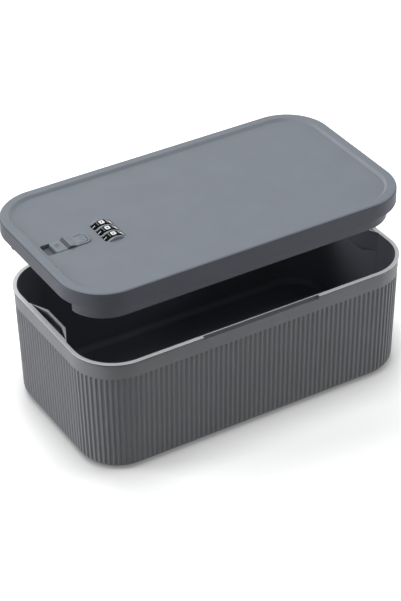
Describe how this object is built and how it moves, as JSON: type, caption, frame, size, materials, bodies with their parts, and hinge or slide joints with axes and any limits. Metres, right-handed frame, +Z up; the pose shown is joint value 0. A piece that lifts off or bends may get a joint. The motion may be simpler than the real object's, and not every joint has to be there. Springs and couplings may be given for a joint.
{
  "type": "medication lock box",
  "caption": "Rounded rectangular storage box with a fluted tub and a lift-off lid, held by sliding bolts, a thumb slider and number dials.",
  "frame": {"origin": "middle of the tub's flat underside", "axes": "+Z up, +X along the length to the end away from the thumb slider, -Y to the front, where the rim has its shallow notch"},
  "size_m": [0.2865, 0.156, 0.1619],
  "materials": {
    "tub": "mid grey moulded plastic, satin",
    "lid_shell": "mid grey moulded plastic, smooth satin",
    "lid_base": "darker grey moulded plastic, satin",
    "slider": "mid grey moulded plastic, smooth satin",
    "black_plastic": "black moulded plastic, satin",
    "dial": "black moulded plastic, slight sheen, white numbers",
    "zinc_steel": "bright zinc plate",
    "spring_steel": "plain spring steel",
    "brass": "turned brass"
  },
  "bodies": {
    "tub": {"tub": "tub"},
    "lid": {"lid_shell": "lid_shell", "lid_base": "lid_base", "lock_case": "black_plastic", "detent_spring": "spring_steel", "pinion_pin": "zinc_steel", "reset_spring": "spring_steel", "base_screw_1": "zinc_steel", "base_screw_2": "zinc_steel", "base_screw_3": "zinc_steel", "base_screw_4": "zinc_steel", "base_screw_5": "zinc_steel", "base_screw_6": "zinc_steel", "case_screw_1": "zinc_steel", "case_screw_2": "zinc_steel", "case_screw_3": "zinc_steel"},
    "bolt_left": {"thumb_slider": "slider", "bolt_bar_left": "zinc_steel", "slider_screw_1": "zinc_steel", "slider_screw_2": "zinc_steel"},
    "bolt_right": {"bolt_bar_right": "zinc_steel"},
    "pinion": {"bolt_pinion": "brass"},
    "reset": {"dial_spindle": "zinc_steel", "reset_lever": "black_plastic"},
    "dial_1": {"dial_wheel_1": "dial"},
    "dial_2": {"dial_wheel_2": "dial"},
    "dial_3": {"dial_wheel_3": "dial"},
    "sleeve_1": {"code_sleeve_1": "brass"},
    "sleeve_2": {"code_sleeve_2": "brass"},
    "sleeve_3": {"code_sleeve_3": "brass"}
  },
  "joints": [
    {"name": "lid_lift", "type": "slide", "parent": "tub", "child": "lid", "axis": [-0.118, 0, 0.993], "range_m": [-0.05085, 0.1]},
    {"name": "lock_slide", "type": "slide", "parent": "lid", "child": "bolt_left", "axis": [1, 0, 0], "range_m": [-0.006, 0]},
    {"name": "right_bolt_slide", "type": "slide", "parent": "lid", "child": "bolt_right", "axis": [1, 0, 0], "range_m": [0, 0.006]},
    {"name": "pinion_turn", "type": "hinge", "parent": "lid", "child": "pinion", "pos_m": [-0.046, 0.012, 0.1507], "axis": [0, 0, 1], "range_deg": [0, 63]},
    {"name": "dial_turn_1", "type": "hinge", "parent": "lid", "child": "dial_1", "pos_m": [-0.084, 0.0088, 0.1507], "axis": [0, 1, 0], "continuous": true},
    {"name": "dial_turn_2", "type": "hinge", "parent": "lid", "child": "dial_2", "pos_m": [-0.084, 0, 0.1507], "axis": [0, 1, 0], "continuous": true},
    {"name": "dial_turn_3", "type": "hinge", "parent": "lid", "child": "dial_3", "pos_m": [-0.084, -0.0088, 0.1507], "axis": [0, 1, 0], "continuous": true},
    {"name": "reset_push", "type": "slide", "parent": "lid", "child": "reset", "axis": [0, 1, 0], "range_m": [0, 0.002], "stiffness_N_per_m": 500, "springref_m": -0.004, "deforming": ["reset_spring"]},
    {"name": "sleeve_turn_1", "type": "hinge", "parent": "reset", "child": "sleeve_1", "pos_m": [-0.084, 0.0088, 0.1507], "axis": [0, 1, 0], "continuous": true},
    {"name": "sleeve_turn_2", "type": "hinge", "parent": "reset", "child": "sleeve_2", "pos_m": [-0.084, 0, 0.1507], "axis": [0, 1, 0], "continuous": true},
    {"name": "sleeve_turn_3", "type": "hinge", "parent": "reset", "child": "sleeve_3", "pos_m": [-0.084, -0.0088, 0.1507], "axis": [0, 1, 0], "continuous": true}
  ],
  "couplings": [
    {"joint": "right_bolt_slide", "follows": "lock_slide", "ratio": -1},
    {"joint": "pinion_turn", "follows": "lock_slide", "rad_per_m": -166.67},
    {"joint": "sleeve_turn_1", "follows": "dial_turn_1", "ratio": 1},
    {"joint": "sleeve_turn_2", "follows": "dial_turn_2", "ratio": 1},
    {"joint": "sleeve_turn_3", "follows": "dial_turn_3", "ratio": 1}
  ]
}
